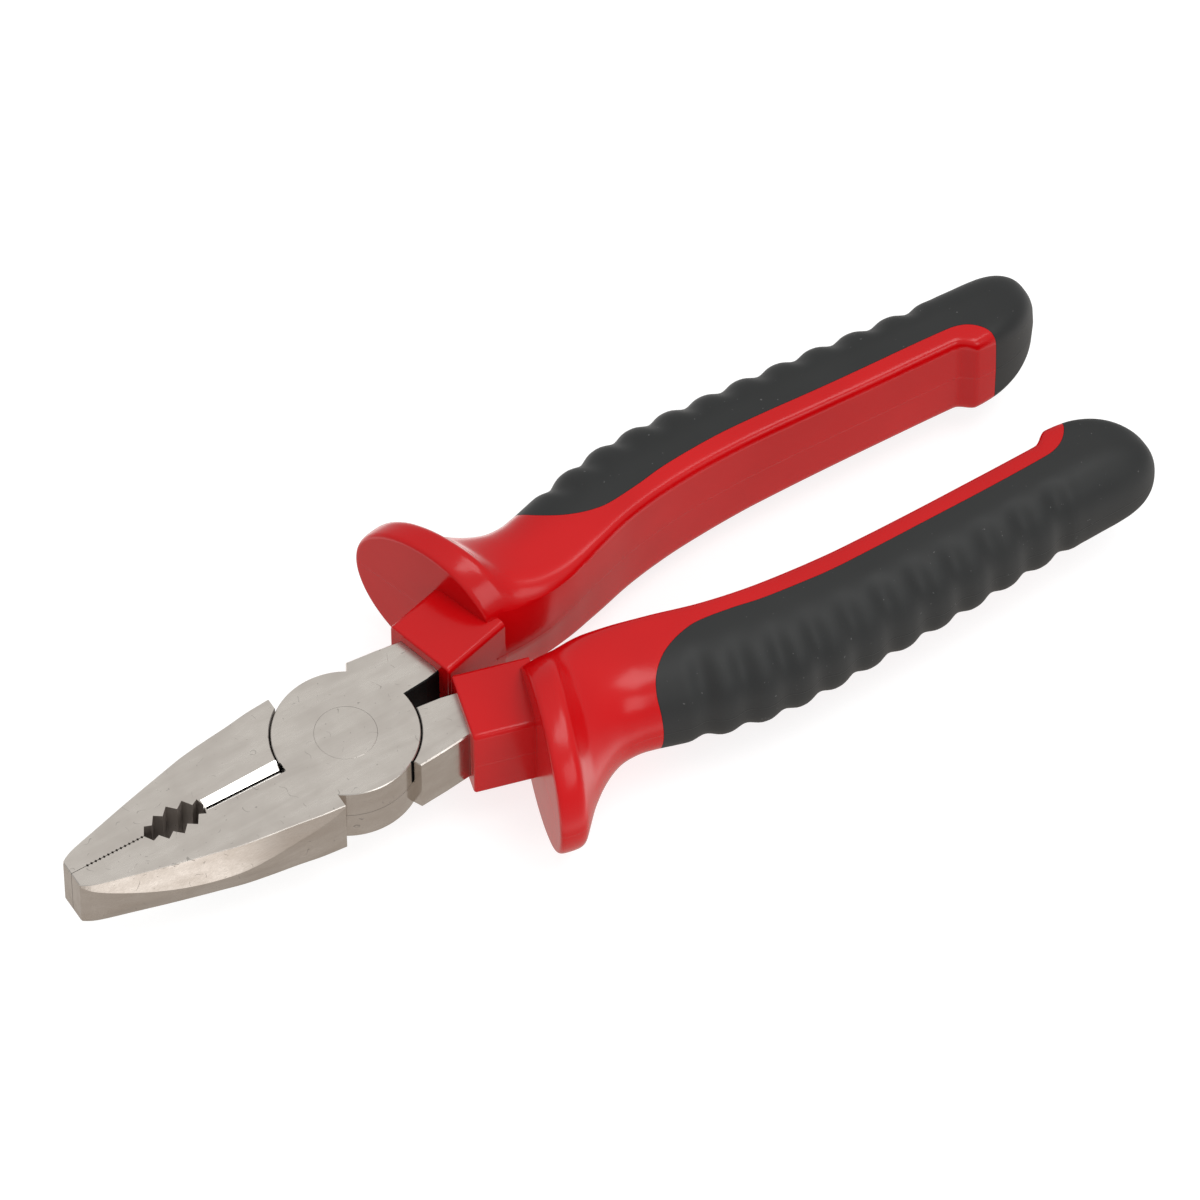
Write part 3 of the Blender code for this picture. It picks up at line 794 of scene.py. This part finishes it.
def build_core(name, side, red):
    core = loft(name, grip_rings(False), side, red)
    combine(core, loft("collar", collar_rings(), side, red), "UNION")
    combine(core, plate("recess", skin_outline(SKIN_SEAM), -FIELD_Z, FIELD_Z, side, red), "DIFFERENCE")
    combine(core, loft("spine", core_sections(0.0), side, red), "UNION")
    end = TANG[-1][0] + TANG_GAP
    pocket = loft("pocket", tang_rings(TANG_GAP, POCKET_START_X, end, POCKET_BLUNT), side, red)
    combine(core, pocket, "DIFFERENCE")
    return finish_mesh(core, GRIP_SHARP_DEGREES)


def build_skin(name, side, black):
    skin = loft(name, grip_rings(True), side, black)
    combine(skin, plate("field", skin_outline(0.0), -FIELD_Z, FIELD_Z, side, black), "INTERSECT")
    combine(skin, loft("void", core_sections(SKIN_UNDER), side, black), "DIFFERENCE")
    return finish_mesh(skin, GRIP_SHARP_DEGREES)


# Materials


def new_material(name, colour, metallic, roughness):
    material = bpy.data.materials.new(name)
    material.use_nodes = True
    shader = material.node_tree.nodes["Principled BSDF"]
    shader.inputs["Base Color"].default_value = (*colour, 1.0)
    shader.inputs["Metallic"].default_value = metallic
    shader.inputs["Roughness"].default_value = roughness
    return material, material.node_tree, shader


def node(tree, kind, values=None, links=None, **settings):
    """A node with its sockets set and linked, by name."""
    made = tree.nodes.new(kind)
    for key, value in settings.items():
        setattr(made, key, value)
    for key, value in (values or {}).items():
        made.inputs[key].default_value = value
    for key, source in (links or {}).items():
        tree.links.new(source, made.inputs[key])
    return made


def object_coordinates(tree, scale=(1, 1, 1), turn=(0, 0, 0), shift=(0, 0, 0)):
    source = node(tree, "ShaderNodeTexCoord").outputs["Object"]
    mapping = node(
        tree,
        "ShaderNodeMapping",
        {"Location": shift, "Rotation": turn, "Scale": scale},
        {"Vector": source},
    )
    return mapping.outputs["Vector"]


def noise(tree, vector, scale, detail=3.0, roughness=0.5, distortion=0.0):
    values = {"Scale": scale, "Detail": detail, "Roughness": roughness, "Distortion": distortion}
    return node(tree, "ShaderNodeTexNoise", values, {"Vector": vector}).outputs["Fac"]


def remap(tree, value, low, high, to_low, to_high):
    values = {"From Min": low, "From Max": high, "To Min": to_low, "To Max": to_high}
    return node(tree, "ShaderNodeMapRange", values, {"Value": value}).outputs["Result"]


def maths(tree, operation, a, b):
    """A Math node of two inputs, each a socket or a number."""
    made = node(tree, "ShaderNodeMath", operation=operation)
    for i, value in enumerate((a, b)):
        if isinstance(value, (int, float)):
            made.inputs[i].default_value = value
        else:
            tree.links.new(value, made.inputs[i])
    return made.outputs["Value"]


def blend_colours(tree, factor, first, second):
    made = node(tree, "ShaderNodeMix", data_type="RGBA")
    tree.links.new(factor, made.inputs["Factor"])
    for name, value in (("A", first), ("B", second)):
        socket = next(s for s in made.inputs if s.name == name and s.type == "RGBA")
        if isinstance(value, tuple):
            socket.default_value = (*value, 1.0)
        else:
            tree.links.new(value, socket)
    return next(s for s in made.outputs if s.type == "RGBA")


def bump(tree, height, distance, strength=1.0, normal=None):
    links = {"Height": height}
    if normal:
        links["Normal"] = normal
    values = {"Strength": strength, "Distance": distance}
    return node(tree, "ShaderNodeBump", values, links).outputs["Normal"]


def scratches(tree, scale, width, cover, shift):
    """Short curved hairlines: thin contours of one noise, shown only where another is high."""
    lines = noise(tree, object_coordinates(tree, shift=shift), scale, 1.0, 0.3)
    offset = maths(tree, "ABSOLUTE", maths(tree, "SUBTRACT", lines, 0.5), 0.0)
    line = remap(tree, offset, width * 0.4, width, 1.0, 0.0)
    elsewhere = tuple(v + 0.4 for v in shift)
    patches = noise(tree, object_coordinates(tree, shift=elsewhere), 2.2 * scale, 1.0, 0.3)
    return maths(tree, "MULTIPLY", line, remap(tree, patches, cover, cover + 0.03, 0.0, 1.0))


def steel_material(name, look):
    """Ground steel: parallel grind lines, cloudy tone, small pits and a few hairline scratches."""
    colour, worn, roughness, grain, grain_turn, depth, metallic = look
    material, tree, shader = new_material(name, colour, metallic, roughness)
    lines = noise(tree, object_coordinates(tree, grain, grain_turn), 1.0, 4.0, 0.65)
    broad = noise(tree, object_coordinates(tree), 90.0, 3.0, 0.6)
    bands = noise(tree, object_coordinates(tree, (60, 420, 300), (0, 0, 0.9)), 1.0, 2.0, 0.5, 0.6)
    speck = noise(tree, object_coordinates(tree, shift=(0.3, 0.1, 0.7)), 1300.0, 2.0, 0.5)
    pit = remap(tree, speck, 0.72, 0.76, 0.0, STEEL_PITS)
    hairlines = scratches(tree, 260.0, 0.006, 0.60, (0.1, 0.6, 0.2))
    mark = maths(tree, "MULTIPLY", hairlines, STEEL_MARKS)
    flaw = maths(tree, "MAXIMUM", pit, mark)
    mottle = maths(tree, "ADD", broad, maths(tree, "MULTIPLY", bands, 0.6))
    cloud = remap(tree, mottle, 0.62, 1.0, 0.0, 1.0)
    tone = blend_colours(tree, cloud, colour, worn)
    streaked = blend_colours(tree, remap(tree, lines, 0.3, 0.7, 0.0, 0.5), tone, worn)
    dark = tuple(0.3 * v for v in colour)
    tree.links.new(blend_colours(tree, flaw, streaked, dark), shader.inputs["Base Color"])
    rough = maths(
        tree,
        "ADD",
        remap(tree, lines, 0.2, 0.8, roughness - 0.05, roughness + 0.07),
        remap(tree, cloud, 0.0, 1.0, -0.03, 0.05),
    )
    tree.links.new(rough, shader.inputs["Roughness"])
    ground = bump(tree, lines, depth * MM)
    pocked = bump(tree, maths(tree, "MULTIPLY", flaw, -1.0), 0.03 * MM, 0.6, ground)
    tree.links.new(pocked, shader.inputs["Normal"])
    return material


def parting_line(tree, height, normal, depth):
    """A hairline moulding seam round the grip at the joint's middle plane."""
    axes = node(tree, "ShaderNodeSeparateXYZ", links={"Vector": object_coordinates(tree)})
    offset = maths(tree, "ABSOLUTE", maths(tree, "SUBTRACT", axes.outputs["Z"], height), 0.0)
    line = remap(tree, offset, 0.05 * MM, 0.16 * MM, 1.0, 0.0)
    return bump(tree, line, depth * MM, 1.0, normal)


def red_material(name):
    material, tree, shader = new_material(name, (0.45, 0.0012, 0.003), 0.0, 0.14)
    shader.inputs["Specular IOR Level"].default_value = 0.28
    place = object_coordinates(tree)
    broad = noise(tree, place, 45.0, 2.0, 0.5)
    fine = noise(tree, place, 2600.0, 3.0, 0.6)
    colour = blend_colours(
        tree, remap(tree, broad, 0.3, 0.7, 0.0, 1.0), (0.46, 0.001, 0.0025), (0.52, 0.0018, 0.0035)
    )
    tree.links.new(colour, shader.inputs["Base Color"])
    tree.links.new(remap(tree, broad, 0.3, 0.7, 0.17, 0.24), shader.inputs["Roughness"])
    wavy = bump(tree, noise(tree, place, 120.0, 1.0, 0.4), 0.03 * MM, 1.0)
    grained = bump(tree, fine, 0.0015 * MM, 1.0, wavy)
    tree.links.new(parting_line(tree, TOP * MM, grained, 0.03), shader.inputs["Normal"])
    return material


def black_material(name):
    material, tree, shader = new_material(name, (0.016, 0.017, 0.017), 0.0, 0.55)
    shader.inputs["Specular IOR Level"].default_value = 0.36
    place = object_coordinates(tree)
    broad = noise(tree, place, 60.0, 3.0, 0.5)
    fine = noise(tree, place, 5200.0, 2.0, 0.5)
    dust = remap(tree, noise(tree, place, 1500.0, 1.0, 0.5), 0.76, 0.80, 0.0, 0.6)
    base = blend_colours(
        tree, remap(tree, broad, 0.3, 0.7, 0.0, 1.0), (0.011, 0.012, 0.012), (0.016, 0.017, 0.017)
    )
    tree.links.new(blend_colours(tree, dust, base, (0.12, 0.12, 0.12)), shader.inputs["Base Color"])
    tree.links.new(remap(tree, broad, 0.3, 0.7, 0.50, 0.60), shader.inputs["Roughness"])
    grained = bump(tree, fine, 0.006 * MM, 1.0)
    tree.links.new(parting_line(tree, TOP * MM, grained, 0.03), shader.inputs["Normal"])
    return material


# Studio


def aim(obj, target):
    obj.rotation_euler = (Vector(target) - obj.location).to_track_quat("-Z", "Y").to_euler()


def area_light(name, location, size, energy):
    light = bpy.data.lights.new(name, "AREA")
    light.shape = "RECTANGLE"
    light.size, light.size_y = size
    light.energy = energy
    obj = bpy.data.objects.new(name, light)
    bpy.context.scene.collection.objects.link(obj)
    obj.location = location
    aim(obj, LIGHT_TARGET)
    obj.visible_camera = False


def build_camera():
    """A long lens, looking down at 55 degrees from beyond the near handle's side."""
    a, e, roll = (math.radians(angle) for angle in (VIEW_AZIMUTH, VIEW_ELEVATION, VIEW_ROLL))
    back = Vector((math.sin(a) * math.cos(e), -math.cos(a) * math.cos(e), math.sin(e)))
    right = Vector((math.cos(a), math.sin(a), 0.0))
    up = back.cross(right)
    turned_right = math.cos(roll) * right + math.sin(roll) * up
    turned_up = math.cos(roll) * up - math.sin(roll) * right
    place = VIEW_DISTANCE * back - PIVOT_RIGHT * MM * turned_right - PIVOT_UP * MM * turned_up
    place.z += TOP * MM
    data = bpy.data.cameras.new("camera")
    data.sensor_width = SENSOR
    data.lens = LENS
    data.clip_start, data.clip_end = 0.1, 10.0
    camera = bpy.data.objects.new("camera", data)
    bpy.context.scene.collection.objects.link(camera)
    camera.matrix_world = Matrix(
        [[turned_right[i], turned_up[i], back[i], place[i]] for i in range(3)] + [[0, 0, 0, 1]]
    )
    bpy.context.scene.camera = camera


def build_world():
    """A soft room: a grey-beige lower half with a bright band of lit table, and a paler upper half."""
    world = bpy.data.worlds.new("studio")
    bpy.context.scene.world = world
    world.use_nodes = True
    tree = world.node_tree
    direction = node(tree, "ShaderNodeTexCoord").outputs["Generated"]
    height = node(tree, "ShaderNodeSeparateXYZ", links={"Vector": direction}).outputs["Z"]
    tones = node(tree, "ShaderNodeValToRGB", links={"Fac": remap(tree, height, -1.0, 1.0, 0.0, 1.0)})
    ramp_stops = tones.color_ramp.elements
    while len(ramp_stops) > 1:
        ramp_stops.remove(ramp_stops[-1])
    for i, (position, colour) in enumerate(SKY_TONES):
        stop = ramp_stops[0] if i == 0 else ramp_stops.new(position)
        stop.position = position
        stop.color = (*colour, 1.0)
    background = tree.nodes["Background"]
    tree.links.new(tones.outputs["Color"], background.inputs["Color"])
    background.inputs["Strength"].default_value = SKY_STRENGTH


def build_studio():
    scene = bpy.context.scene
    scene.view_settings.view_transform = "Standard"
    build_world()

    mesh = bpy.data.meshes.new("floor")
    shape = bmesh.new()
    bmesh.ops.create_grid(shape, x_segments=2, y_segments=2, size=FLOOR_REACH)
    shape.to_mesh(mesh)
    shape.free()
    floor = bpy.data.objects.new("floor", mesh)
    scene.collection.objects.link(floor)
    floor.location.z = CAD_BOX[0].z - FLOOR_DROP
    material, tree, shader = new_material("floor_white", (0.35, 0.35, 0.35), 0.0, 0.9)
    shader.inputs["Specular IOR Level"].default_value = 0.0
    shader.inputs["Emission Color"].default_value = (1.0, 1.0, 1.0, 1.0)
    shader.inputs["Emission Strength"].default_value = FLOOR_GLOW
    mesh.materials.append(material)
    floor.visible_glossy = False

    for name, location, size, energy in LIGHTS:
        area_light(name, location, size, energy)


def steel_finishes():
    """Ground tops, ground flanks, lap faces, cutter bevels, teeth, and the black scale in the slot, which is
    also painted shade.
    """
    return (
        steel_material("steel_ground", GROUND),
        steel_material("steel_flank", FLANK),
        steel_material("steel_lap", LAP),
        steel_material("steel_cutter", CUTTER),
        steel_material("steel_teeth", TEETH),
        steel_material("steel_scale_and_painted_shade", SLOT_SCALE_AND_SHADE),
    )


def main():
    build_camera()
    build_studio()
    finishes = steel_finishes()
    rivet_steel = steel_material("steel_rivet", GROUND)
    red = red_material("plastic_red")
    black = black_material("rubber_black")
    for letter, side in (("a", 1), ("b", -1)):
        body = f"half_{letter}"
        lever = build_lever(f"forged_lever_{letter}", side, finishes)
        core = build_core(f"moulded_core_{letter}", side, red)
        skin = build_skin(f"moulded_skin_{letter}", side, black)
        for piece, cad_node, slot in (
            (lever, f"lever_{letter}", "steel"),
            (core, f"grip_core_{letter}", "hard_red"),
            (skin, f"grip_skin_{letter}", "soft_black"),
        ):
            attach(piece, body)
            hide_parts(cad_node)
    rivet = turned("flush_rivet", rivet_profile(0.0, 0.0), 1, rivet_steel)
    finish_mesh(rivet, RIVET_SHARP_DEGREES)
    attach(rivet, "half_b")
    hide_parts("pivot_rivet")


main()
